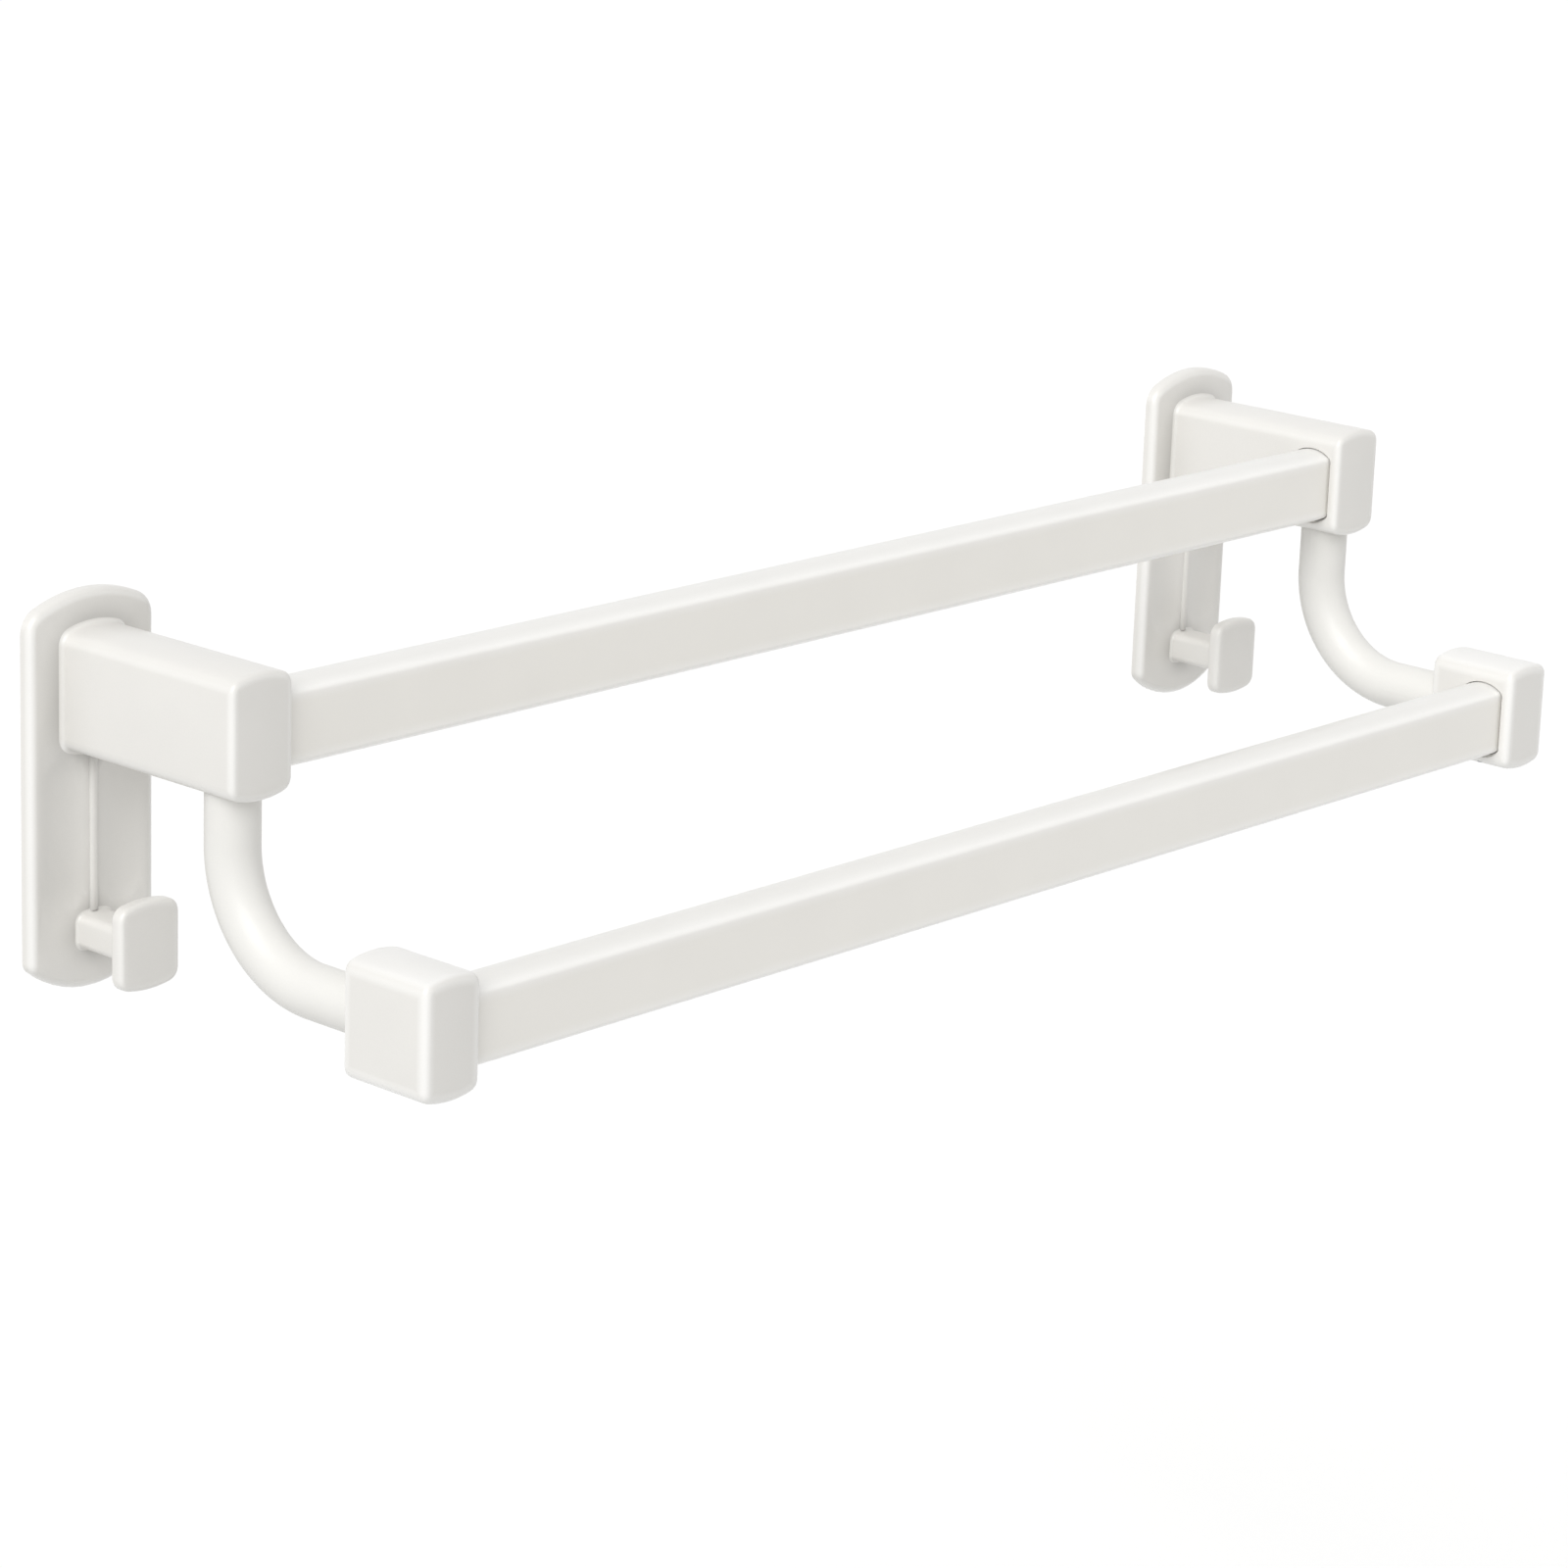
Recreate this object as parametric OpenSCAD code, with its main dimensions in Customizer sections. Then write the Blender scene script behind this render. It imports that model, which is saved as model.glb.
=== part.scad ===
// Double towel rail for a bathroom wall.
// Two wall plates carry arms. The upper rail lies between the arms, close to the wall.
// A bent tube drops from each arm to a block further out, and the lower rail lies between the blocks.
// A robe hook stands on each plate below its arm.
// Frame: X runs along the rails, the wall is the plane Y = 0 and the room is at -Y, and Z is up.
// The origin is the middle of the four wall screws. All lengths are in millimetres.

/* [Layout] */
// Distance between the middles of the two wall plates
bracket_span = 600; // [400:10:900]
// Distance from the top of a wall plate down to the arm's middle
arm_inset = 33.6; // [32:0.2:40]
// Distance from the wall to the front of the lower blocks
block_reach = 181; // [172:1:210]
// Height of the arms' middle above the lower blocks' middle
block_drop = 80.6; // [72:0.2:110]

/* [Wall plate] */
// Width of a wall plate
plate_w = 54.5; // [48:0.5:66]
// Height of a wall plate over its crowned ends
plate_h = 140; // [136:1:160]
// Thickness of a wall plate, from the wall to its front face
plate_t = 5; // [5:0.1:7]
// Thickness of the front wall over the hollow back
plate_wall = 2.4; // [2:0.1:2.4]
// Radius of the rounding around the front face
plate_edge = 3; // [1:0.5:4]
// Radius of the crowned top edge
plate_top_crown = 55; // [45:1:80]
// Radius of the two top corners
plate_top_corner = 9; // [5:0.5:12]
// Radius of the crowned bottom edge
plate_bottom_crown = 39; // [36:1:60]
// Radius of the two bottom corners
plate_bottom_corner = 5; // [5:0.5:8]
// Radius of the rounded rib between arm and hook
rib_r = 2; // [1.5:0.1:2.4]
// Height of the rib's crest over the front face
rib_proud = 1.2; // [0.5:0.1:1.4]
// Radius of the two shallow flutes beside the rib
flute_r = 45; // [40:1:60]
// Depth of the two flutes
flute_depth = 1.2; // [0.4:0.1:1.3]
// Distance from the rib to the middle of each flute
flute_offset = 12.5; // [11.5:0.5:13.5]

/* [Wall bracket] */
// Width of the steel bracket inside the plate
bracket_w = 34; // [24:1:38]
// Distance from each end of the plate to the bracket
bracket_margin = 14; // [13:0.5:16]
// Thickness of the steel bracket
bracket_t = 2.4; // [2:0.1:2.5]
// Height that the top edge loses towards the wall, where the plate hooks behind it
bracket_bevel = 1.2; // [0.5:0.1:2]
// Radius of the bracket's corners
bracket_corner = 4; // [2:0.5:8]
// Height between the two wall screws of a bracket
wall_screw_pitch = 70; // [50:1:80]
// Diameter of the wall screw holes
wall_screw_d = 4.5; // [4:0.1:5.5]
// Diameter of the countersinks for the wall screws
wall_screw_head_d = 7.7; // [7:0.1:9]
// Depth of the countersinks for the wall screws
wall_screw_sink = 1.5; // [1:0.1:1.6]

/* [Arm] */
// Depth of an arm, from the plate to its front
arm_depth = 85; // [81:1:93]
// Width of an arm
arm_w = 27; // [25:0.5:32]
// Height of an arm over its crowned top and bottom
arm_h = 43.8; // [41:0.2:50]
// Radius of the crowned top and bottom of an arm
arm_crown = 36; // [30:1:60]
// Radius of the four long edges of an arm
arm_corner = 5; // [2.5:0.1:6]
// Radius of the rounding around the front face of an arm
arm_edge = 2.2; // [1:0.1:2.3]
// Thickness of the walls around the hollow inside an arm
arm_wall = 3; // [2:0.1:4]
// Radius of the inner edges of that hollow
core_corner = 2; // [1:0.1:3]
// Thickness of the wall between that hollow and the bore for the tube
bore_wall = 3.6; // [3:0.1:10]

/* [Lower block] */
// Width of a lower block
block_w = 25; // [24:0.5:30]
// Height of a lower block over its crowned top and bottom
block_h = 43; // [41:0.5:50]
// Depth of a lower block, from its back to its front
block_depth = 39; // [38:0.5:44]
// Radius of the crowned top and bottom of a lower block
block_crown = 36; // [30:1:60]
// Radius of the four long edges of a lower block
block_corner = 4.5; // [3:0.1:6]
// Radius of the rounding around the front and back faces of a lower block
block_edge = 2.8; // [1:0.1:2.9]

/* [Rails] */
// Depth of a rail, from its back to its front
rail_d = 17.5; // [15:0.5:18]
// Height of a rail over its crowned top and bottom
rail_h = 30; // [26:0.5:32]
// Radius of the crowned top and bottom of a rail
rail_crown = 14; // [12:0.5:30]
// Radius of the four long edges of a rail
rail_corner = 2; // [1.8:0.1:3]
// Wall thickness of a rail
rail_wall = 1.5; // [1:0.1:1.7]
// Smallest radius of the edges inside a rail
inner_corner = 0.4; // [0.2:0.1:0.6]
// Distance from the front of an arm or block back to the front of its rail
rail_setback = 5; // [4:0.1:5.4]
// Height of the middle of an arm or block above the middle of its rail
rail_lower = 1.2; // [0:0.1:1.5]
// Depth of the pockets that hold the rail ends
pocket_depth = 6; // [4:0.5:6]
// Width of the shadow gap below and in front of a rail at the mouth of its pocket
mouth_gap = 0.9; // [0.5:0.1:1.2]
// Depth of that shadow gap
mouth_depth = 1.2; // [0.5:0.1:2]

/* [Rail plugs] */
// Thickness of the plug flange that closes a rail end
plug_flange = 1.2; // [0.8:0.1:2]
// Length of the plug inside the rail
plug_len = 14; // [8:1:24]
// Wall thickness of the plug
plug_wall = 1.6; // [1:0.1:2.5]

/* [Drop tube] */
// Outer diameter of a drop tube
tube_d = 19; // [16:0.2:20]
// Wall thickness of a drop tube
tube_wall = 1.5; // [1:0.1:2]
// Distance from the front of an arm back to the axis of the tube's upright run
tube_setback = 14.6; // [12:0.1:18]
// Radius of the bend, measured to the tube's axis
bend_r = 41; // [30:1:46]
// Diameter of the narrowed end inside the arm
neck_d = 12; // [9:0.5:12]
// Length of the narrowed end, without its taper
neck_len = 18; // [14:0.5:20]
// Length of the taper between tube and narrowed end
swage_len = 3; // [1:0.5:4]
// Depth of the full tube in the underside of the arm, at the middle
shoulder_depth = 2; // [1.5:0.1:3]
// Depth of the full tube in the back of the lower block
tube_seat = 14; // [8:0.5:14.5]

/* [Hook] */
// Distance from the wall to the front of the hook's button
hook_reach = 34.5; // [28:0.5:45]
// Distance from the bottom of a wall plate up to the middle of the peg
hook_inset = 21; // [20:0.5:26]
// Width of the button
button_w = 26; // [20:0.5:32]
// Height of the button over its crowned ends
button_h = 31.5; // [24:0.5:36]
// Thickness of the button
button_t = 5.3; // [4:0.1:8]
// Radius of the crowned top and bottom of the button
button_crown = 42; // [30:1:60]
// Radius of the four corners of the button
button_corner = 5; // [3:0.5:8]
// Radius of the rounding around the front of the button
button_edge = 1.8; // [1:0.1:2.5]
// Radius of the rounding around the back of the button
button_back_edge = 0.9; // [0.5:0.1:1.4]
// Height of the button's middle above the middle of the peg
button_lift = 0.8; // [0:0.1:3]
// Width of the peg
peg_w = 14.5; // [10:0.5:18]
// Height of the peg over its crowned top and bottom
peg_h = 12.8; // [10:0.1:16]
// Radius of the crowned top and bottom of the peg
peg_crown = 30; // [20:1:60]
// Radius of the four long edges of the peg
peg_corner = 3; // [2:0.1:4.5]

/* [Screws] */
// Height between the two screws that hold an arm
arm_screw_pitch = 28; // [24:1:29]
// Diameter of the screws through the plate into arm and hook
screw_d = 4; // [3:0.1:4.5]
// Diameter of their countersunk heads
screw_head_d = 7.2; // [6:0.1:7.6]
// Height of their countersunk heads
screw_head_h = 1.9; // [1.2:0.1:1.9]
// Length of the screws into an arm
arm_screw_len = 16; // [10:1:30]
// Length of the screw into a hook
hook_screw_len = 14; // [10:1:20]
// Radius of the bosses around the screws inside an arm
boss_r = 4.5; // [3.5:0.1:5]
// Diameter of the set screws that hold the tubes
tube_screw_d = 4; // [3:0.1:4.5]
// Length of the set screw behind the narrowed tube end
neck_screw_len = 8; // [6:0.5:10]
// Length of the set screw under the tube in a lower block
seat_screw_len = 8; // [6:0.5:10]
// Height of the neck screw above the tube's taper
neck_screw_lift = 10; // [6:0.5:12]
// Distance from the back of a lower block to its tube screw
seat_screw_inset = 7; // [5:0.5:10]
// Diameter of the small set screws under the plates and rails
small_screw_d = 3; // [2.5:0.1:3]
// Length of the set screw that clamps a plate to its bracket
clamp_screw_len = 8; // [6:0.5:10]
// Distance from the wall to the axis of the clamp screw
clamp_screw_reach = 2.2; // [2.1:0.1:2.6]
// Length of the set screw under a rail end
rail_screw_len = 3.4; // [3:0.1:3.6]
// Distance from the inner face of a block to the axis of its rail screw
rail_screw_inset = 2.9; // [2.7:0.1:3.2]
// Width across flats of the hexagon sockets in the larger screws
socket_af = 2.2; // [1.5:0.1:2.4]
// Width across flats of the hexagon sockets in the small screws
small_socket_af = 1.5; // [1.2:0.1:1.6]
// Share of a set screw's length that its socket takes
socket_share = 0.4; // [0.3:0.05:0.5]
// Share of a set screw's diameter that its pointed tip takes in height
tip_share = 0.25; // [0.1:0.05:0.3]

/* [Fits] */
// Gap on each side of a seated piece
fit = 0.3; // [0.2:0.05:0.35]
// Gap between a screw and its hole
screw_fit = 0.15; // [0.1:0.05:0.2]
// Room below a bracket that lets the plate be lifted over it
lift_room = 3.5; // [2.5:0.5:5]

/* [Hidden] */

// Sides of a full circle on round parts
$fn = 96;
// Steps in the arc on top and at the bottom of a rounded body
crown_steps = 14;
// Steps in each corner of a rounded body
corner_steps = 6;
// Steps in the rounding around a front face
edge_steps = 6;
// Overrun of every cut through a surface
over = 1;

left = -1;
right = 1;

// Heights of the main pieces
arm_z = plate_h / 2 - arm_inset;
block_z = arm_z - block_drop;
upper_rail_z = arm_z - rail_lower;
lower_rail_z = block_z - rail_lower;
hook_z = hook_inset - plate_h / 2;
button_z = hook_z + button_lift;

// Depths of the main pieces, measured from the wall into the room
arm_reach = plate_t + arm_depth;
tube_reach = arm_reach - tube_setback;
upper_rail_reach = arm_reach - rail_setback - rail_d / 2;
lower_rail_reach = block_reach - rail_setback - rail_d / 2;
block_back = block_reach - block_depth;
button_back = hook_reach - button_t;
cavity_depth = plate_t - plate_wall;

// Heights in and around the bracket
bracket_h = plate_h - 2 * bracket_margin;
bracket_top = bracket_h / 2;
bracket_bottom = -bracket_h / 2;
cavity_bottom = bracket_bottom - lift_room;

// Mouth of a pocket: wider in front and below, close above, because the rail is pressed upwards
mouth_grow = (mouth_gap + fit) / 2;
mouth_shift = (mouth_gap - fit) / 2;

// Half lengths of the two rails, over their plugs
upper_half = bracket_span / 2 - arm_w / 2 + pocket_depth - fit;
lower_half = bracket_span / 2 - block_w / 2 + pocket_depth - fit;

// The tube's upper end inside the arm
arm_bottom = arm_z - arm_h / 2;
shoulder_z = arm_bottom + shoulder_depth;
neck_z = shoulder_z + swage_len;
neck_top = neck_z + neck_len;
neck_screw_z = neck_z + neck_screw_lift;
core_end = tube_reach - tube_d / 2 - fit - bore_wall;

// Puts a piece that is drawn for the left side in its place, or its mirror image on the right
module at_side(side) {
    translate([side * bracket_span / 2, 0, 0])
        mirror([side > 0 ? 1 : 0, 0, 0])
            children();
}

// Extrudes an outline in X and Z towards the room, between two distances from the wall
module outward(from, to) {
    translate([0, -from, 0])
        rotate([90, 0, 0])
            linear_extrude(to - from)
                children();
}

// Extrudes an outline in Y and Z along the rails, between two places in X
module sideways(from, to) {
    translate([from, 0, 0])
        rotate([90, 0, 90])
            linear_extrude(to - from)
                children();
}

// Angle by which the arc of a crowned outline leans where it meets a corner
function lean(w, crown, corner) = asin((w / 2 - corner) / (crown - corner));

// Height of a corner's middle in a crowned outline
function corner_height(w, h, crown, corner) =
    h / 2 - crown + (crown - corner) * cos(lean(w, crown, corner));

// Crowned outline in exact arcs: the same arc at top and bottom, two straight sides and four corners
module crowned(w, h, crown, corner) {
    corner_y = corner_height(w, h, crown, corner);
    tangent_x = crown * sin(lean(w, crown, corner));
    square([w, 2 * corner_y], center = true);
    for (end = [0, 1])
        mirror([0, end])
            intersection() {
                translate([0, h / 2 - crown])
                    circle(crown);
                translate([-tangent_x, 0])
                    square([2 * tangent_x, h / 2]);
            }
    for (x = [left, right], y = [left, right])
        translate([x * (w / 2 - corner), y * corner_y])
            circle(corner);
}

// Points of an arc about a centre
function arc(centre, r, from, to, steps) = [
    for (step = [0 : steps])
        let (a = from + (to - from) * step / steps)
        centre + r * [cos(a), sin(a)]
];

// Points along the upper half of a crowned outline, from its right side to its left side
function half_points(w, h, crown, corner) =
    let (
        corner_x = w / 2 - corner,
        corner_y = corner_height(w, h, crown, corner),
        a = lean(w, crown, corner),
        turn = 2 * a / crown_steps
    )
    [
        each arc([corner_x, corner_y], corner, 0, 90 - a, corner_steps),
        each arc([0, h / 2 - crown], crown, 90 - a + turn, 90 + a - turn, crown_steps - 2),
        each arc([-corner_x, corner_y], corner, 90 + a, 180, corner_steps)
    ];

// Points around a crowned outline with its own arc and corners at the top and at the bottom
function outline_points(w, h, top_crown, top_corner, bottom_crown, bottom_corner) = [
    each half_points(w, h, top_crown, top_corner),
    for (p = half_points(w, h, bottom_crown, bottom_corner)) -p
];

// Body with a crowned outline whose front and back edges are rounded; an edge of 0 stays sharp
module cushion(w, h, top_crown, top_corner, bottom_crown, bottom_corner, from, to, front, back = 0) {
    back_steps = back > 0 ? edge_steps : 0;
    hull()
        for (step = [-back_steps : edge_steps]) {
            turn = 90 * step / edge_steps;
            edge = step > 0 ? front : back;
            in = edge * (1 - cos(turn));
            outward(from + back + min(edge * sin(turn), 0), to - front + max(edge * sin(turn), 0))
                polygon(outline_points(w - 2 * in, h - 2 * in, top_crown - in, top_corner - in,
                                       bottom_crown - in, bottom_corner - in));
        }
}

// Outline of a rail in Y and Z, grown all round by a gap, or shrunk where it is negative
module rail_outline(grow) {
    crowned(rail_d + 2 * grow, rail_h + 2 * grow, rail_crown + grow,
            max(rail_corner + grow, inner_corner));
}

// Cylinder that runs from a distance in front of the wall towards the room
module rod_out(d, from, to) {
    translate([0, -from, 0])
        rotate([90, 0, 0])
            cylinder(h = to - from, d = d);
}

// Hexagon socket of a screw, cut down into its outer face
module socket(af, depth) {
    translate([0, 0, -depth])
        cylinder(h = depth + over, d = af / cos(30), $fn = 6);
}

// Countersunk screw whose head lies level with Z = 0 and whose shank points down
module countersunk_screw(len) {
    difference() {
        union() {
            translate([0, 0, -screw_head_h])
                cylinder(h = screw_head_h, d1 = screw_d, d2 = screw_head_d);
            translate([0, 0, -len])
                cylinder(h = len, d = screw_d);
        }
        socket(socket_af, screw_head_h);
    }
}

// Set screw whose socket end lies level with Z = 0 and whose tip points up
module set_screw(d, len, af) {
    tip = tip_share * d;
    difference() {
        union() {
            cylinder(h = len - tip, d = d);
            translate([0, 0, len - tip])
                cylinder(h = tip, d1 = d, d2 = d - 2 * tip);
        }
        mirror([0, 0, 1])
            socket(af, socket_share * len);
    }
}

// Hole through the plate's front wall for a countersunk screw, at a height
module screw_hole(z) {
    translate([0, 0, z]) {
        rod_out(screw_d + 2 * screw_fit, cavity_depth - over, plate_t + over);
        translate([0, -cavity_depth, 0])
            rotate([90, 0, 0])
                cylinder(h = screw_head_h, d1 = screw_head_d + 2 * screw_fit,
                         d2 = screw_d + 2 * screw_fit);
    }
}

// Wedge section of the bracket in Y and Z, whose top edge leans back towards the wall
module wedge_outline(top, bottom, depth) {
    polygon([[0, bottom], [0, top - bracket_bevel], [-depth, top], [-depth, bottom]]);
}

// Steel bracket that is screwed to the wall and carries the plate
module wall_bracket() {
    color("silver")
    difference() {
        intersection() {
            sideways(-bracket_w / 2, bracket_w / 2)
                wedge_outline(bracket_top, bracket_bottom, bracket_t);
            outward(-over, bracket_t + over)
                union() {
                    square([bracket_w, bracket_h - 2 * bracket_corner], center = true);
                    square([bracket_w - 2 * bracket_corner, bracket_h], center = true);
                    for (x = [left, right], z = [left, right])
                        translate([x * (bracket_w / 2 - bracket_corner),
                                   z * (bracket_h / 2 - bracket_corner)])
                            circle(bracket_corner);
                }
        }
        for (z = [-wall_screw_pitch / 2, wall_screw_pitch / 2])
            translate([0, 0, z]) {
                rod_out(wall_screw_d, -over, bracket_t + over);
                translate([0, wall_screw_sink - bracket_t, 0])
                    rotate([90, 0, 0])
                        cylinder(h = wall_screw_sink, d1 = wall_screw_d, d2 = wall_screw_head_d);
            }
    }
}

// One shallow flute: a long cylinder with round ends, sunk a little into the front face
module flute(top, bottom) {
    end_reach = sqrt(2 * flute_r * flute_depth);
    translate([0, -plate_t - flute_r + flute_depth, 0]) {
        translate([0, 0, bottom + end_reach])
            cylinder(h = top - bottom - 2 * end_reach, r = flute_r);
        for (z = [bottom + end_reach, top - end_reach])
            translate([0, 0, z])
                sphere(flute_r);
    }
}

// Moulded plate over the bracket, with a hollow back, two flutes and the rib between arm and hook
module wall_plate() {
    rib_top = arm_bottom - fit;
    rib_bottom = hook_z + peg_h / 2 + fit;
    color("whitesmoke")
    difference() {
        union() {
            difference() {
                cushion(plate_w, plate_h, plate_top_crown, plate_top_corner,
                        plate_bottom_crown, plate_bottom_corner, 0, plate_t, plate_edge);
                for (x = [-flute_offset, flute_offset])
                    translate([x, 0, 0])
                        flute(rib_top, rib_bottom);
            }
            translate([0, rib_r - plate_t - rib_proud, rib_bottom])
                cylinder(h = rib_top - rib_bottom, r = rib_r);
        }
        sideways(-bracket_w / 2 - fit, bracket_w / 2 + fit)
            wedge_outline(bracket_top + fit, cavity_bottom, cavity_depth);
        translate([-bracket_w / 2 - fit, 0, cavity_bottom])
            cube([bracket_w + 2 * fit, over, bracket_top - bracket_bevel + fit - cavity_bottom]);
        for (z = [-arm_screw_pitch / 2, arm_screw_pitch / 2])
            screw_hole(arm_z + z);
        screw_hole(hook_z);
        translate([0, -clamp_screw_reach, -plate_h / 2 - over])
            cylinder(h = plate_h / 2 + over + bracket_bottom, d = small_screw_d + 2 * screw_fit);
    }
}

// Set screw under the plate that presses up against the bracket's lower edge
module clamp_screw() {
    color("silver")
    translate([0, -clamp_screw_reach, bracket_bottom - clamp_screw_len - screw_fit])
        set_screw(small_screw_d, clamp_screw_len, small_socket_af);
}

// Arm with a hollow back, two screw bosses, a pocket for the rail and a bore for the tube
module arm() {
    color("whitesmoke")
    difference() {
        translate([0, 0, arm_z])
            cushion(arm_w, arm_h, arm_crown, arm_corner, arm_crown, arm_corner,
                    plate_t, arm_reach, arm_edge);
        difference() {
            translate([0, 0, arm_z])
                outward(plate_t - over, core_end)
                    crowned(arm_w - 2 * arm_wall, arm_h - 2 * arm_wall, arm_crown - arm_wall,
                            core_corner);
            for (z = [-arm_screw_pitch / 2, arm_screw_pitch / 2])
                translate([0, 0, arm_z + z])
                    rod_out(2 * boss_r, plate_t, core_end + over);
        }
        for (z = [-arm_screw_pitch / 2, arm_screw_pitch / 2])
            translate([0, 0, arm_z + z])
                rod_out(screw_d + 2 * screw_fit, plate_t - over, cavity_depth + arm_screw_len + fit);
        translate([0, -upper_rail_reach, upper_rail_z]) {
            sideways(arm_w / 2 - pocket_depth, arm_w / 2 + over)
                rail_outline(fit);
            sideways(arm_w / 2 - mouth_depth, arm_w / 2 + over)
                translate([-mouth_shift, -mouth_shift])
                    rail_outline(mouth_grow);
        }
        translate([0, -tube_reach, 0]) {
            translate([0, 0, arm_bottom - over])
                cylinder(h = shoulder_depth + over + fit, d = tube_d + 2 * fit);
            translate([0, 0, shoulder_z + fit])
                cylinder(h = swage_len, d1 = tube_d + 2 * fit, d2 = neck_d + 2 * fit);
            translate([0, 0, shoulder_z])
                cylinder(h = neck_top - shoulder_z + fit, d = neck_d + 2 * fit);
        }
        translate([0, 0, neck_screw_z])
            rod_out(tube_screw_d + 2 * screw_fit, core_end - over, tube_reach);
    }
}

// Two countersunk screws that hold an arm, driven from the hollow back of the plate
module arm_screws() {
    color("silver")
    for (z = [-arm_screw_pitch / 2, arm_screw_pitch / 2])
        translate([0, -cavity_depth, arm_z + z])
            rotate([-90, 0, 0])
                countersunk_screw(arm_screw_len);
}

// Robe hook: a short peg with a broad button at its front
module hook() {
    color("whitesmoke")
    difference() {
        union() {
            translate([0, 0, hook_z])
                outward(plate_t, button_back + button_back_edge)
                    polygon(outline_points(peg_w, peg_h, peg_crown, peg_corner, peg_crown, peg_corner));
            translate([0, 0, button_z])
                cushion(button_w, button_h, button_crown, button_corner, button_crown, button_corner,
                        button_back, hook_reach, button_edge, button_back_edge);
        }
        translate([0, 0, hook_z])
            rod_out(screw_d + 2 * screw_fit, plate_t - over, cavity_depth + hook_screw_len + fit);
    }
}

// Countersunk screw that holds the hook, driven from the hollow back of the plate
module hook_screw() {
    color("silver")
    translate([0, -cavity_depth, hook_z])
        rotate([-90, 0, 0])
            countersunk_screw(hook_screw_len);
}

// Path of the drop tube as a solid of one diameter, from a height down to a distance in front of the wall
module tube_path(d, top, front) {
    bend_z = block_z + bend_r;
    bend_reach = tube_reach + bend_r;
    translate([0, -tube_reach, bend_z])
        cylinder(h = top - bend_z, d = d);
    translate([0, -bend_reach, bend_z])
        rotate([90, 0, 90])
            rotate([0, 0, -90])
                rotate_extrude(angle = 90)
                    translate([bend_r, 0])
                        circle(d = d);
    translate([0, 0, block_z])
        rod_out(d, bend_reach, front);
}

// Drop tube, narrowed at the top where it goes into the arm
module drop_tube() {
    inner = tube_d - 2 * tube_wall;
    neck_inner = neck_d - 2 * tube_wall;
    front = block_back + tube_seat - fit;
    color("whitesmoke")
    difference() {
        union() {
            tube_path(tube_d, shoulder_z, front);
            translate([0, -tube_reach, shoulder_z]) {
                cylinder(h = swage_len, d1 = tube_d, d2 = neck_d);
                cylinder(h = swage_len + neck_len, d = neck_d);
            }
        }
        tube_path(inner, shoulder_z, front + over);
        translate([0, -tube_reach, shoulder_z]) {
            cylinder(h = swage_len, d1 = inner, d2 = neck_inner);
            cylinder(h = swage_len + neck_len + over, d = neck_inner);
        }
    }
}

// Set screw inside the arm that presses on the narrowed end of the tube
module neck_screw() {
    color("silver")
    translate([0, neck_d / 2 + screw_fit - tube_reach + neck_screw_len, neck_screw_z])
        rotate([90, 0, 0])
            set_screw(tube_screw_d, neck_screw_len, socket_af);
}

// Lower block with a bore for the tube, a pocket for the rail and two set screw holes underneath
module lower_block() {
    bottom = block_z - block_h / 2 - over;
    color("whitesmoke")
    difference() {
        translate([0, 0, block_z])
            cushion(block_w, block_h, block_crown, block_corner, block_crown, block_corner,
                    block_back, block_reach, block_edge, block_edge);
        translate([0, 0, block_z])
            rod_out(tube_d + 2 * fit, block_back - over, block_back + tube_seat);
        translate([0, -lower_rail_reach, lower_rail_z]) {
            sideways(block_w / 2 - pocket_depth, block_w / 2 + over)
                rail_outline(fit);
            sideways(block_w / 2 - mouth_depth, block_w / 2 + over)
                translate([-mouth_shift, -mouth_shift])
                    rail_outline(mouth_grow);
        }
        translate([0, -block_back - seat_screw_inset, bottom])
            cylinder(h = block_z - bottom, d = tube_screw_d + 2 * screw_fit);
        translate([block_w / 2 - rail_screw_inset, -lower_rail_reach, bottom])
            cylinder(h = block_z - bottom, d = small_screw_d + 2 * screw_fit);
    }
}

// Set screw under the lower block that holds the tube
module tube_screw() {
    color("silver")
    translate([0, -block_back - seat_screw_inset, block_z - tube_d / 2 - screw_fit - seat_screw_len])
        set_screw(tube_screw_d, seat_screw_len, socket_af);
}

// Set screw under the lower block that holds the rail
module rail_screw() {
    color("silver")
    translate([block_w / 2 - rail_screw_inset, -lower_rail_reach,
               lower_rail_z - rail_h / 2 - screw_fit - rail_screw_len])
        set_screw(small_screw_d, rail_screw_len, small_socket_af);
}

// Hollow rail between the flanges of its two plugs
module rail(half, reach, height) {
    color("whitesmoke")
    translate([0, -reach, height])
        difference() {
            sideways(plug_flange - half, half - plug_flange)
                rail_outline(0);
            sideways(-half - over, half + over)
                rail_outline(-rail_wall);
        }
}

// Plug that closes the left end of a rail: a flange and a hollow spigot
module plug(half, reach, height) {
    color("gainsboro")
    translate([-half, -reach, height]) {
        sideways(0, plug_flange)
            rail_outline(0);
        difference() {
            sideways(plug_flange, plug_flange + plug_len)
                rail_outline(-rail_wall - fit);
            sideways(plug_flange, plug_flange + plug_len + over)
                rail_outline(-rail_wall - fit - plug_wall);
        }
    }
}

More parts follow.
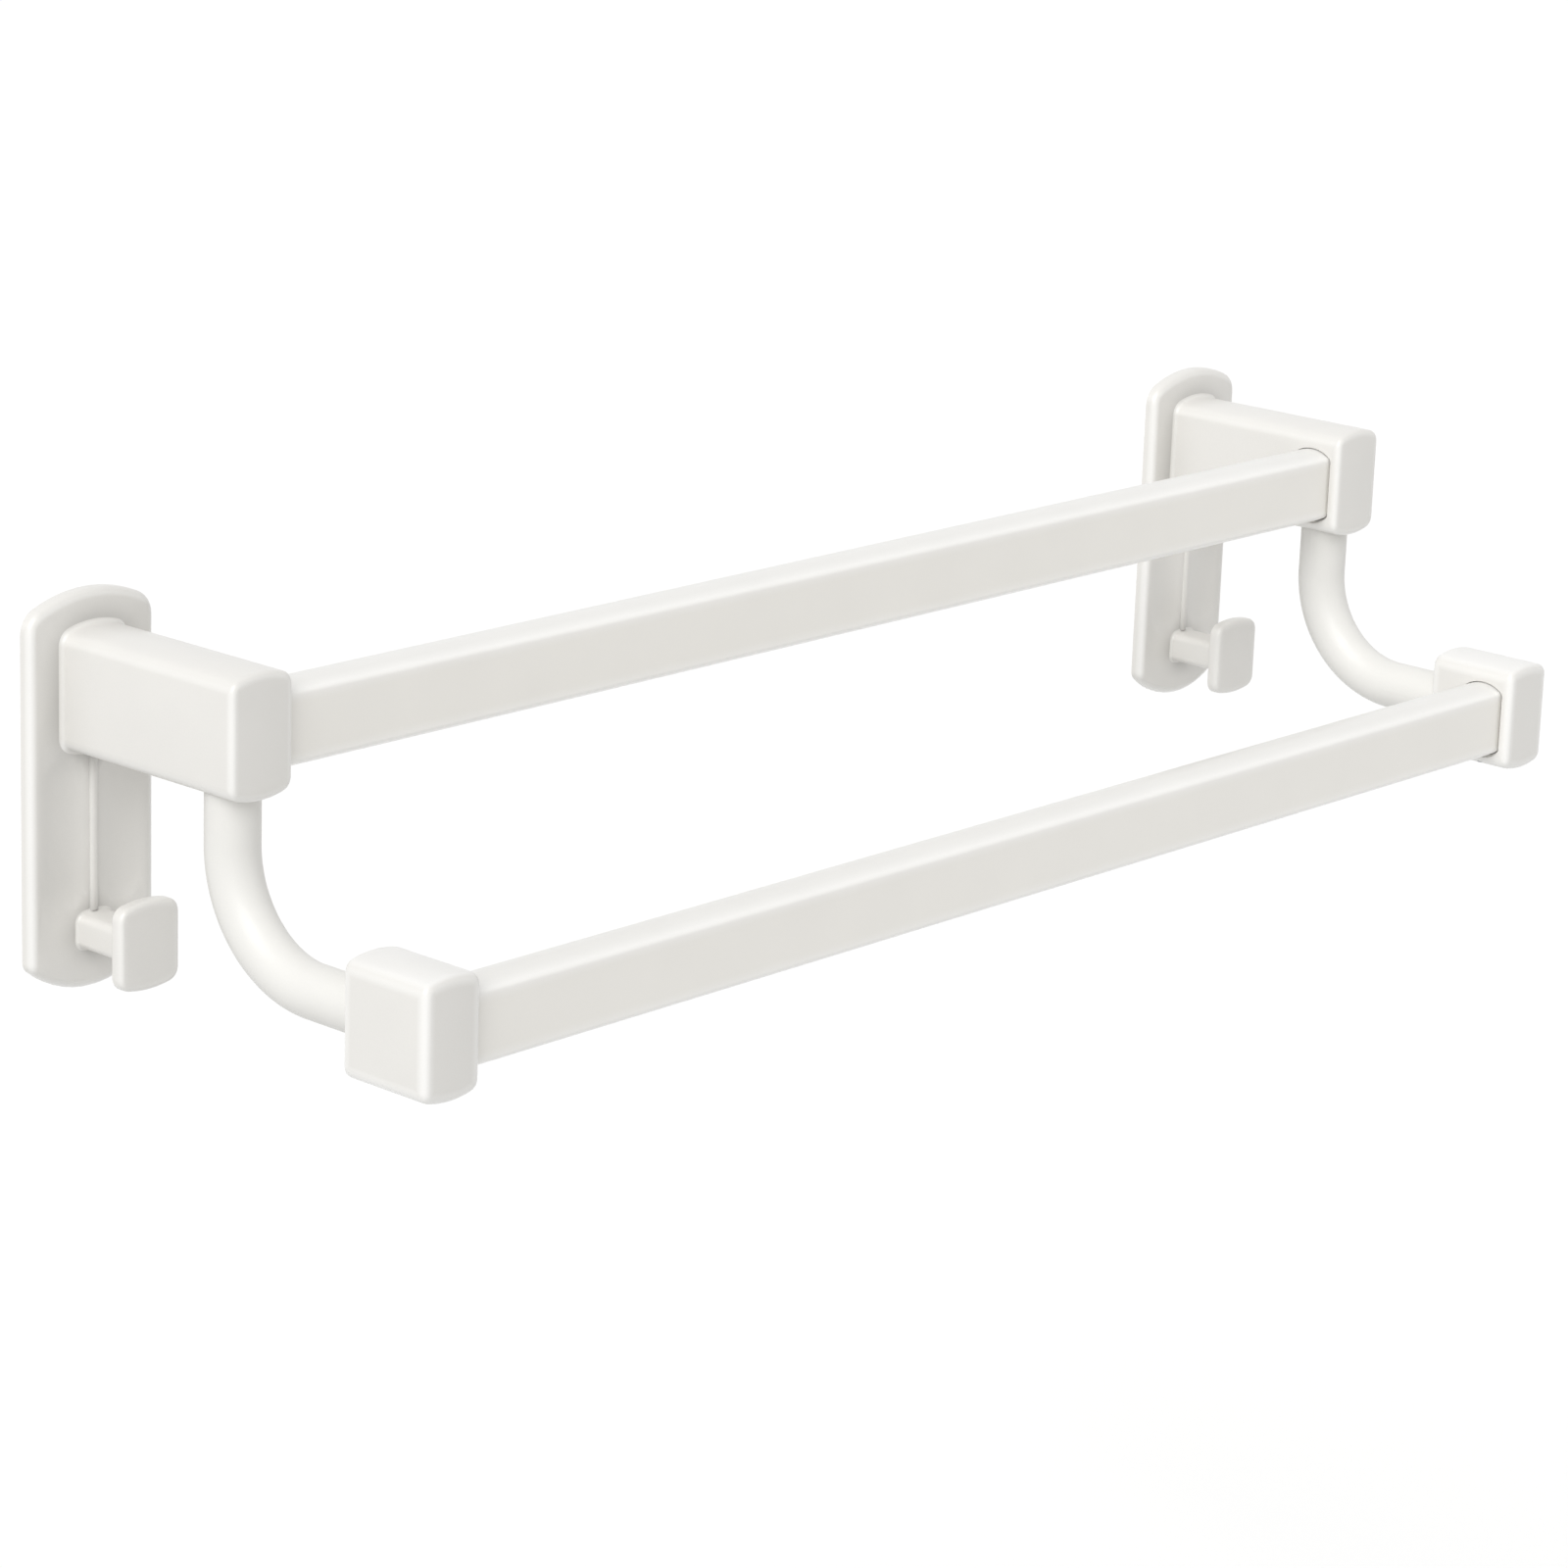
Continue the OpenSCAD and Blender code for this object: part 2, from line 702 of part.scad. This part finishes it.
at_side(left) wall_bracket();  // left_wall_bracket
at_side(right) wall_bracket();  // right_wall_bracket
at_side(left) wall_plate();  // left_wall_plate
at_side(right) wall_plate();  // right_wall_plate
at_side(left) clamp_screw();  // left_clamp_screw
at_side(right) clamp_screw();  // right_clamp_screw
at_side(left) arm();  // left_arm
at_side(right) arm();  // right_arm
at_side(left) arm_screws();  // left_arm_screws
at_side(right) arm_screws();  // right_arm_screws
at_side(left) hook();  // left_hook
at_side(right) hook();  // right_hook
at_side(left) hook_screw();  // left_hook_screw
at_side(right) hook_screw();  // right_hook_screw
at_side(left) drop_tube();  // left_drop_tube
at_side(right) drop_tube();  // right_drop_tube
at_side(left) neck_screw();  // left_neck_screw
at_side(right) neck_screw();  // right_neck_screw
at_side(left) lower_block();  // left_lower_block
at_side(right) lower_block();  // right_lower_block
at_side(left) tube_screw();  // left_tube_screw
at_side(right) tube_screw();  // right_tube_screw
at_side(left) rail_screw();  // left_rail_screw
at_side(right) rail_screw();  // right_rail_screw
rail(upper_half, upper_rail_reach, upper_rail_z);  // upper_rail
rail(lower_half, lower_rail_reach, lower_rail_z);  // lower_rail
plug(upper_half, upper_rail_reach, upper_rail_z);  // upper_left_plug
mirror([1, 0, 0]) plug(upper_half, upper_rail_reach, upper_rail_z);  // upper_right_plug
plug(lower_half, lower_rail_reach, lower_rail_z);  // lower_left_plug
mirror([1, 0, 0]) plug(lower_half, lower_rail_reach, lower_rail_z);  // lower_right_plug
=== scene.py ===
import math

import bmesh
import bpy
from mathutils import Matrix, Vector, geometry


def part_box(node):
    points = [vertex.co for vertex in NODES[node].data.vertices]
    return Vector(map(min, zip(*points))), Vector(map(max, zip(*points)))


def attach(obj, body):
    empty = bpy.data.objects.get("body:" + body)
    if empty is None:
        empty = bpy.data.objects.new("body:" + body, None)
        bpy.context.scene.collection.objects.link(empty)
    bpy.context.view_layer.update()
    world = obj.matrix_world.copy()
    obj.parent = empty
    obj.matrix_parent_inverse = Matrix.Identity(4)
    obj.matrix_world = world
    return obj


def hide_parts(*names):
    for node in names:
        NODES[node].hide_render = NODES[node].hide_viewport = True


MM = 0.001
SIDES = ("left", "right")
LEVELS = ("upper", "lower")
SCREWS = ("clamp_screw", "arm_screws", "hook_screw", "neck_screw", "tube_screw", "rail_screw")

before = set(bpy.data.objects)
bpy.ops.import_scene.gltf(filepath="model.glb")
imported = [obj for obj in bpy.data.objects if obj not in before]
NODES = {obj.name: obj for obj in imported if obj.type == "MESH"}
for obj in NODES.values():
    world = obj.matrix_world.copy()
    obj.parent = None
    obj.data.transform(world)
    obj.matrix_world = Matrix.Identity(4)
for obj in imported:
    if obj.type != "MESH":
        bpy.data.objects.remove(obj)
bpy.context.view_layer.update()

# Camera, fitted to the photograph's edges
CAMERA_SENSOR = 36.0
CAMERA_LENS = 116.47
CAMERA_AZIMUTH = math.radians(-48.1711)
CAMERA_ELEVATION = math.radians(15.9273)
CAMERA_ROLL = math.radians(2.0528)
CAMERA_PLACE = Vector((-1.37133, -1.27686, 0.48063))
CAMERA_CLIP_END = 200.0

# Studio: a paper floor below the rail that glows a little toward the camera, an even sky, a wide soft sun
FLOOR_Z = -0.6
FLOOR_HALF = 30.0
FLOOR_COLOUR = (0.68, 0.68, 0.675, 1.0)
FLOOR_LIFT = 0.34
SKY_COLOUR = (1.0, 1.0, 1.0, 1.0)
SKY_ON_OBJECT = 0.645
KEY_STRENGTH = 1.76
KEY_ANGLE = math.radians(44)
KEY_TO_LIGHT = Vector((-0.715, -0.26, 0.65))

# Colours of the mouldings, the painted rails and tubes, the plugs and the zinc plating. The moulding and
# rail colours for edges are painted highlights, the block colour for tops is painted light and the rail
# colour for tops is painted shade
MOULDING = (0.776, 0.761, 0.728, 1.0)
MOULDING_PAINTED_HIGHLIGHT = (0.955, 0.949, 0.930, 1.0)
BLOCK_TOP_PAINTED_LIGHT = (0.855, 0.847, 0.825, 1.0)
RAIL_PAINT = (0.892, 0.871, 0.823, 1.0)
RAIL_PAINTED_HIGHLIGHT = (0.965, 0.957, 0.935, 1.0)
RAIL_TOP_PAINTED_SHADE = (0.812, 0.802, 0.774, 1.0)
TUBE_PAINT = (0.796, 0.786, 0.755, 1.0)
PLUG_GREY = (0.62, 0.62, 0.60, 1.0)
SHEET_TONES = ((0.44, 0.45, 0.46, 1.0), (0.55, 0.55, 0.54, 1.0))
SCREW_TONES = ((0.36, 0.37, 0.39, 1.0), (0.50, 0.50, 0.49, 1.0))

# Uneven colour: sizes of its clouds and specks, and how far they go from the colour
CLOUD_SIZE = 30 * MM
SPECK_SIZE = 0.45 * MM
MOULDING_SHADE = 0.012
PAINT_SHADE = 0.010
PLUG_SHADE = 0.03

# Thin gloss on mouldings and paint, which lightens what is seen at a low angle
GLOSS = 1.0
TUBE_GLOSS = 0.3
GLOSS_ROUGHNESS = 0.36

# Radius of each moulding's crowned top and bottom, with the width and the strength of its painted highlight
# along the edges
MOULDINGS = {
    "wall_plate": {"crown": 47 * MM, "painted_highlight_width": 3.2 * MM, "painted_highlight_share": 1.0},
    "arm": {"crown": 36 * MM, "painted_highlight_width": 3.2 * MM, "painted_highlight_share": 0.8},
    "hook": {"crown": 42 * MM, "painted_highlight_width": 3.2 * MM, "painted_highlight_share": 0.4},
    "lower_block": {"crown": 36 * MM, "painted_highlight_width": 4.4 * MM, "painted_highlight_share": 1.0},
}

# The same for the rails, the share of their painted edge highlight that is left on top, and how steeply it
# falls off
RAIL_CROWN = 14 * MM
RAIL_PAINTED_HIGHLIGHT_WIDTH = 4.5 * MM
RAIL_PAINTED_HIGHLIGHT_ON_TOP = 0.85
RAIL_PAINTED_HIGHLIGHT_FALL = 1.6

# Height of a surface's normal at which painted highlights fade toward a top, and at which the painted light
# or shade of tops comes in
PAINTED_HIGHLIGHT_TURN = (0.05, 0.6)
PAINTED_TOP_TURN = (0.5, 0.9)

# Painted shade on the plates, darker beside the arms and pegs that stand on them: its reach, its share
# of the colour, and the openness at which it is full and at which it ends
PAINTED_SHADE_REACH = 13 * MM
PAINTED_SHADE_TONE = 0.55
PAINTED_SHADE_OPENNESS = (0.4, 0.92)

# Flared feet where arm and peg stand on the plate: their radius, how far they sink into both, the steps
# of their hollow, and the shortest side of an outline that counts
FOOT_RADIUS = {"arm": 1.4 * MM, "hook": 1.0 * MM}
FOOT_SINK = 0.2 * MM
FOOT_STEPS = 6
FOOT_STRIDE = 0.08 * MM

# The plates' rib and flutes: the rib's rise over the face, just over the flutes' depth in the solid,
# how much deeper the visible ones are, and where they end, measured from the plate's middle
RIB_RISE = 1.2 * MM
FLUTE_DEPTH = 1.25 * MM
FLUTE_GAIN = 1.5
FLUTE_SIDE = 23.5 * MM
FLUTE_LOW = -43 * MM
FLUTE_HIGH = 15 * MM

# Small radius on the mouldings' sharp edges, and the distance at which the solid's points are one
EDGE_RADIUS = 0.35 * MM
EDGE_SEGMENTS = 2
SHARP = math.radians(32)
SAME_POINT = 0.002 * MM


class Tree:
    """Short way to write the nodes of a material or world."""

    def __init__(self, owner):
        owner.use_nodes = True
        self.owner = owner
        self.nodes = owner.node_tree.nodes
        self.links = owner.node_tree.links
        self.nodes.clear()

    def put(self, socket, value):
        if hasattr(value, "is_output"):
            self.links.new(value, socket)
        else:
            socket.default_value = value

    def node(self, kind, **values):
        made = self.nodes.new("ShaderNode" + kind)
        for key, value in values.items():
            if key in made.inputs:
                self.put(made.inputs[key], value)
            else:
                setattr(made, key, value)
        return made

    def math(self, operation, a, b):
        made = self.node("Math", operation=operation)
        self.put(made.inputs[0], a)
        self.put(made.inputs[1], b)
        return made.outputs[0]

    def absolute(self, value):
        return self.math("ABSOLUTE", value, 0.0)

    def ramp(self, value, low, high, out_low=0.0, out_high=1.0):
        made = self.node("MapRange", clamp=True)
        for socket, given in zip(made.inputs, (value, low, high, out_low, out_high)):
            self.put(socket, given)
        return made.outputs[0]

    def seen_directly(self):
        """1 for rays from the camera, from reflections and through clear things, 0 for the rest."""
        light = self.node("LightPath").outputs
        seen = self.math("MAXIMUM", light["Is Camera Ray"], light["Is Glossy Ray"])
        return self.math("MAXIMUM", seen, light["Is Transmission Ray"])


class Finish(Tree):
    """A material with one plain shader, whose patterns follow the object's own coordinates."""

    def __init__(self, name):
        super().__init__(bpy.data.materials.new(name))
        self.shader = self.node("BsdfPrincipled")
        self.put(self.node("OutputMaterial").inputs[0], self.shader.outputs[0])
        self.place = self.node("TexCoord").outputs["Object"]

    def noise(self, size, detail=2.0, stretch=None):
        """Noise from 0 to 1 with features about size metres across."""
        place = self.place
        if stretch:
            place = self.node("Mapping", Vector=place, Scale=stretch).outputs[0]
        return self.node("TexNoise", Vector=place, Scale=1.0 / size, Detail=detail).outputs["Fac"]

    def spread(self, noise, low=0.0, high=1.0, span=0.2):
        """The noise as a value from low to high, full where it is span away from its middle."""
        return self.ramp(noise, 0.5 - span, 0.5 + span, low, high)

    def upward(self, turn, flat, top):
        """A value that goes from flat to top as a surface turns from upright to facing up."""
        normal = self.node("NewGeometry").outputs["Normal"]
        height = self.node("SeparateXYZ", Vector=normal).outputs[2]
        return self.ramp(height, *turn, flat, top)

    def mix(self, share, a, b, blend="MIX"):
        made = self.node("Mix", data_type="RGBA", blend_type=blend)
        self.put(made.inputs[0], share)
        self.put(made.inputs[6], a)
        self.put(made.inputs[7], b)
        return made.outputs[2]

    def bump(self, height, depth, strength, under=None):
        made = self.node("Bump", Strength=strength, Distance=depth, Height=height)
        if under is not None:
            self.put(made.inputs["Normal"], under)
        return made.outputs[0]

    def set(self, **values):
        for key, value in values.items():
            self.put(self.shader.inputs[key.replace("_", " ")], value)
        return self.owner


def middle(node):
    low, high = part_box(node)
    return (low + high) / 2


def half(node):
    low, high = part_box(node)
    return (high - low) / 2


def painted_highlight_mask(tree, node, crown, width, across, at_back=True, on_top=0.0, proud=0.0):
    """1 along a piece's outer edges, where its painted highlight lies, fading to 0 over width metres.

    The piece is a block with a crowned top and bottom. A point's share comes from the second
    smallest of its distances to the block's sides. across is the axis that the crown curves along.
    Both sides of the object share one material, so X is taken without its sign. A piece that
    stands on another has no painted highlight at its back. on_top is the share left where a surface
    faces up, and proud is how far a rib stands in front of the block's face.
    """
    parts = tree.node("SeparateXYZ", Vector=tree.place).outputs
    centre, size = middle(node), half(node)
    places = (tree.absolute(parts[0]), parts[1], parts[2])
    centres = (abs(centre.x), centre.y, centre.z)
    gaps = {}
    for name, place, mid, reach in zip("XYZ", places, centres, size):
        offset = tree.absolute(tree.math("SUBTRACT", place, mid))
        gaps[name] = tree.math("SUBTRACT", reach, offset)
    if not at_back:
        gaps["Y"] = tree.math("SUBTRACT", parts[1], centre.y - size.y + proud)
    from_middle = tree.math("SUBTRACT", size["XYZ".index(across)], gaps[across])
    fall = tree.math("DIVIDE", tree.math("MULTIPLY", from_middle, from_middle), 2 * crown)
    z = tree.math("SUBTRACT", gaps["Z"], fall)
    low = tree.math("MINIMUM", gaps["X"], gaps["Y"])
    high = tree.math("MAXIMUM", gaps["X"], gaps["Y"])
    second = tree.math("MAXIMUM", low, tree.math("MINIMUM", high, z))
    painted_highlight = tree.ramp(second, 0.0, width, 1.0, 0.0)
    return tree.math("MULTIPLY", painted_highlight, tree.upward(PAINTED_HIGHLIGHT_TURN, 1.0, on_top))


def shaded(tree, colour, share):
    """A colour with faint clouds and specks, as moulded or painted surfaces have."""
    clouds = tree.spread(tree.noise(CLOUD_SIZE), 1.0 - share, 1.0 + share)
    specks = tree.spread(tree.noise(SPECK_SIZE, detail=1.0), 1.0 - share, 1.0 + share, span=0.25)
    both = tree.math("MULTIPLY", clouds, specks)
    grey = tree.node("CombineColor", Red=both, Green=both, Blue=both)
    return tree.mix(1.0, colour, grey.outputs[0], blend="MULTIPLY")


def painted_contact_shade(tree, colour):
    """The colour with painted shade, darker in the corners beside pieces that stand on the surface."""
    openness = tree.node("AmbientOcclusion", Distance=PAINTED_SHADE_REACH).outputs["AO"]
    dark = tree.ramp(openness, *PAINTED_SHADE_OPENNESS, 1.0, 0.0)
    return tree.mix(dark, colour, [c * PAINTED_SHADE_TONE for c in MOULDING[:3]] + [1.0])


def moulded_white(part):
    tree = Finish("moulded_white_" + part)
    is_plate, is_block = part == "wall_plate", part == "lower_block"
    form = MOULDINGS[part]
    painted_highlight = painted_highlight_mask(tree, "right_" + part, form["crown"], form["painted_highlight_width"], "X",
                   at_back=is_block, proud=RIB_RISE if is_plate else 0.0)
    # Painted light: the lower blocks' tops get a lighter colour
    colour = tree.mix(tree.upward(PAINTED_TOP_TURN, 0.0, 1.0), MOULDING, BLOCK_TOP_PAINTED_LIGHT) if is_block else MOULDING
    # Painted highlight: a lighter colour along the edges
    colour = tree.mix(tree.math("MULTIPLY", painted_highlight, form["painted_highlight_share"]), colour, MOULDING_PAINTED_HIGHLIGHT)
    # Painted shade: the plates get darker in the corners beside the arms and pegs
    if is_plate:
        colour = painted_contact_shade(tree, colour)
    grain = tree.bump(tree.noise(0.9 * MM, detail=3.0), depth=0.02 * MM, strength=0.5)
    ripple = tree.bump(tree.noise(9 * MM), depth=0.05 * MM, strength=0.5, under=grain)
    rough = tree.spread(tree.noise(6 * MM, detail=3.0), 0.40, 0.48)
    return tree.set(Base_Color=shaded(tree, colour, MOULDING_SHADE), Roughness=rough, Normal=ripple,
                    IOR=1.46, Coat_Weight=GLOSS, Coat_Roughness=GLOSS_ROUGHNESS)


def painted_white(name, rail=None):
    tree = Finish("painted_white_" + name)
    colour = TUBE_PAINT
    if rail:
        # Painted highlight: a lighter colour along the rails' edges; painted shade: a darker colour on
        # their tops
        painted_highlight = painted_highlight_mask(tree, rail, RAIL_CROWN, RAIL_PAINTED_HIGHLIGHT_WIDTH, "Y", at_back=False, on_top=RAIL_PAINTED_HIGHLIGHT_ON_TOP)
        colour = tree.mix(tree.upward(PAINTED_TOP_TURN, 0.0, 1.0), RAIL_PAINT, RAIL_TOP_PAINTED_SHADE)
        colour = tree.mix(tree.math("POWER", painted_highlight, RAIL_PAINTED_HIGHLIGHT_FALL), colour, RAIL_PAINTED_HIGHLIGHT)
    peel = tree.bump(tree.noise(1.4 * MM), depth=0.03 * MM, strength=0.5)
    rough = tree.spread(tree.noise(5 * MM), 0.42, 0.50)
    return tree.set(Base_Color=shaded(tree, colour, PAINT_SHADE), Roughness=rough, Normal=peel,
                    IOR=1.5, Coat_Weight=GLOSS if rail else TUBE_GLOSS, Coat_Roughness=GLOSS_ROUGHNESS)


def plug_plastic():
    tree = Finish("plug_grey")
    grain = tree.bump(tree.noise(0.5 * MM, detail=3.0), depth=0.03 * MM, strength=0.7)
    return tree.set(Base_Color=shaded(tree, PLUG_GREY, PLUG_SHADE), Roughness=0.55, Normal=grain)


def zinc_sheet():
    tree = Finish("zinc_sheet")
    streaks = tree.noise(0.6 * MM, detail=3.0, stretch=(1.0, 1.0, 0.04))
    clouds = tree.noise(8 * MM, detail=4.0)
    return tree.set(Base_Color=tree.mix(tree.spread(clouds, span=0.15), *SHEET_TONES), Metallic=1.0,
                    Roughness=tree.spread(streaks, 0.28, 0.45),
                    Normal=tree.bump(streaks, depth=0.02 * MM, strength=0.6))


def zinc_screw():
    tree = Finish("zinc_screw")
    turned = tree.noise(0.25 * MM)
    return tree.set(Base_Color=tree.mix(tree.spread(turned), *SCREW_TONES), Metallic=1.0,
                    Roughness=tree.spread(tree.noise(1.5 * MM), 0.22, 0.38),
                    Normal=tree.bump(turned, depth=0.015 * MM, strength=0.5))


def floor_paper():
    """Pale paper that reads as white to the camera and in reflections, and is clear from below."""
    tree = Tree(bpy.data.materials.new("floor_paper"))
    paper = tree.node("BsdfDiffuse", Color=FLOOR_COLOUR)
    lift = tree.node("Emission", Strength=tree.math("MULTIPLY", tree.seen_directly(), FLOOR_LIFT))
    both = tree.node("AddShader")
    tree.put(both.inputs[0], paper.outputs[0])
    tree.put(both.inputs[1], lift.outputs[0])
    sided = tree.node("MixShader")
    tree.put(sided.inputs[0], tree.node("NewGeometry").outputs["Backfacing"])
    tree.put(sided.inputs[1], both.outputs[0])
    tree.put(sided.inputs[2], tree.node("BsdfTransparent").outputs[0])
    tree.put(tree.node("OutputMaterial").inputs[0], sided.outputs[0])
    return tree.owner


def dress(node, material):
    for slot in NODES[node].material_slots:
        slot.link = "OBJECT"
        slot.material = material


def add_object(name, data):
    made = bpy.data.objects.new(name, data)
    bpy.context.scene.collection.objects.link(made)
    return made


def add_piece(name, made, material):
    """The bmesh as a piece of the object, smooth but for its sharp edges."""
    mesh = bpy.data.meshes.new(name)
    made.to_mesh(mesh)
    made.free()
    if "custom_normal" in mesh.attributes:
        mesh.attributes.remove(mesh.attributes["custom_normal"])
    mesh.materials.append(material)
    mesh.shade_smooth()
    mesh.set_sharp_from_angle(angle=SHARP)
    piece = add_object(name, mesh)
    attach(piece, "root")
    return piece


def deepen_flutes(made, node):
    """Points of the flutes, which lie behind the plate's face, move further in."""
    face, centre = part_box(node)[0].y + RIB_RISE, middle(node)
    for vert in made.verts:
        depth, place = vert.co.y - face, vert.co - centre
        if 0 < depth < FLUTE_DEPTH and abs(place.x) < FLUTE_SIDE and FLUTE_LOW < place.z < FLUTE_HIGH:
            vert.co.y = face + FLUTE_GAIN * depth


def finished(node, material, fluted):
    """The node's own shape with smooth faces and small radii on its sharp edges."""
    made = bmesh.new()
    made.from_mesh(NODES[node].data)
    bmesh.ops.remove_doubles(made, verts=made.verts, dist=SAME_POINT)
    if fluted:
        deepen_flutes(made, node)
    piece = add_piece(node + "_finished", made, material)
    bevel = piece.modifiers.new("radius", "BEVEL")
    bevel.width = EDGE_RADIUS
    bevel.segments = EDGE_SEGMENTS
    bevel.limit_method = "ANGLE"
    bevel.angle_limit = SHARP
    bevel.harden_normals = True
    bevel.use_clamp_overlap = True
    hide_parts(node)


def foot_section(radius):
    """The bead's section as steps (out from the piece, up from the plate), with a hollow front."""
    section = [(-FOOT_SINK, -FOOT_SINK), (radius, -FOOT_SINK)]
    for step in range(FOOT_STEPS + 1):
        turn = math.radians(90) * step / FOOT_STEPS
        section.append((radius * (1 - math.sin(turn)), radius * (1 - math.cos(turn))))
    return section + [(-FOOT_SINK, radius)]


def foot(node, radius, material):
    """Flared foot: a hollow-rounded bead around the outline in which a piece stands on the plate."""
    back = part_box(node)[1].y
    corners = [v.co for v in NODES[node].data.vertices if back - v.co.y < FOOT_SINK]
    flat = [Vector((co.x, co.z)) for co in corners]
    hull = [flat[i] for i in geometry.convex_hull_2d(flat)]
    outline = [here for before, here in zip(hull[-1:] + hull, hull) if (here - before).length > FOOT_STRIDE]
    section = foot_section(radius)
    made = bmesh.new()
    rings = []
    for i, here in enumerate(outline):
        along = (outline[(i + 1) % len(outline)] - outline[i - 1]).normalized()
        out = Vector((along.y, -along.x))
        places = [here + out * beside for beside, _ in section]
        rings.append([made.verts.new((p.x, back - rise, p.y)) for p, (_, rise) in zip(places, section)])
    for ring, after in zip(rings, rings[1:] + rings[:1]):
        for j in range(len(ring)):
            k = (j + 1) % len(ring)
            made.faces.new((ring[j], ring[k], after[k], after[j]))
    bmesh.ops.recalc_face_normals(made, faces=made.faces)
    add_piece(node + "_foot", made, material)


def make_floor():
    mesh = bpy.data.meshes.new("floor")
    corners = [(x * FLOOR_HALF, y * FLOOR_HALF, FLOOR_Z) for x, y in ((-1, -1), (1, -1), (1, 1), (-1, 1))]
    mesh.from_pydata(corners, [], [(0, 1, 2, 3)])
    mesh.materials.append(floor_paper())
    add_object("floor", mesh)


def make_world():
    """An even sky, plain white where it is seen and dimmer where it lights the object."""
    world = bpy.data.worlds.new("studio")
    bpy.context.scene.world = world
    tree = Tree(world)
    strength = tree.ramp(tree.seen_directly(), 0.0, 1.0, SKY_ON_OBJECT, 1.0)
    background = tree.node("Background", Color=SKY_COLOUR, Strength=strength)
    tree.put(tree.node("OutputWorld").inputs[0], background.outputs[0])


def make_key():
    data = bpy.data.lights.new("key", "SUN")
    data.energy = KEY_STRENGTH
    data.angle = KEY_ANGLE
    key = add_object("key", data)
    key.rotation_mode = "QUATERNION"
    key.rotation_quaternion = KEY_TO_LIGHT.to_track_quat("Z", "Y")


def make_camera():
    az, el, roll = CAMERA_AZIMUTH, CAMERA_ELEVATION, CAMERA_ROLL
    back = Vector((math.sin(az) * math.cos(el), -math.cos(az) * math.cos(el), math.sin(el)))
    level = Vector((math.cos(az), math.sin(az), 0))
    above = back.cross(level)
    right = math.cos(roll) * level + math.sin(roll) * above
    up = math.cos(roll) * above - math.sin(roll) * level
    data = bpy.data.cameras.new("camera")
    data.sensor_width = CAMERA_SENSOR
    data.lens = CAMERA_LENS
    data.clip_end = CAMERA_CLIP_END
    camera = add_object("camera", data)
    turned = Matrix((right, up, back)).transposed().to_4x4()
    camera.matrix_world = Matrix.Translation(CAMERA_PLACE) @ turned
    bpy.context.scene.camera = camera


def write_size():
    bpy.context.view_layer.update()


bpy.context.scene.view_settings.view_transform = "Standard"
make_camera()
make_world()
make_key()
make_floor()

mouldings = {part: moulded_white(part) for part in MOULDINGS}
paint = painted_white("tube")
plastic = plug_plastic()
sheet_steel = zinc_sheet()
screw_steel = zinc_screw()
for side in SIDES:
    for part, material in mouldings.items():
        finished(f"{side}_{part}", material, fluted=part == "wall_plate")
    for part, radius in FOOT_RADIUS.items():
        foot(f"{side}_{part}", radius, mouldings[part])
    dress(f"{side}_drop_tube", paint)
    dress(f"{side}_wall_bracket", sheet_steel)
    for part in SCREWS:
        dress(f"{side}_{part}", screw_steel)
    for level in LEVELS:
        dress(f"{level}_{side}_plug", plastic)
for level in LEVELS:
    dress(f"{level}_rail", painted_white(level, f"{level}_rail"))

write_size()
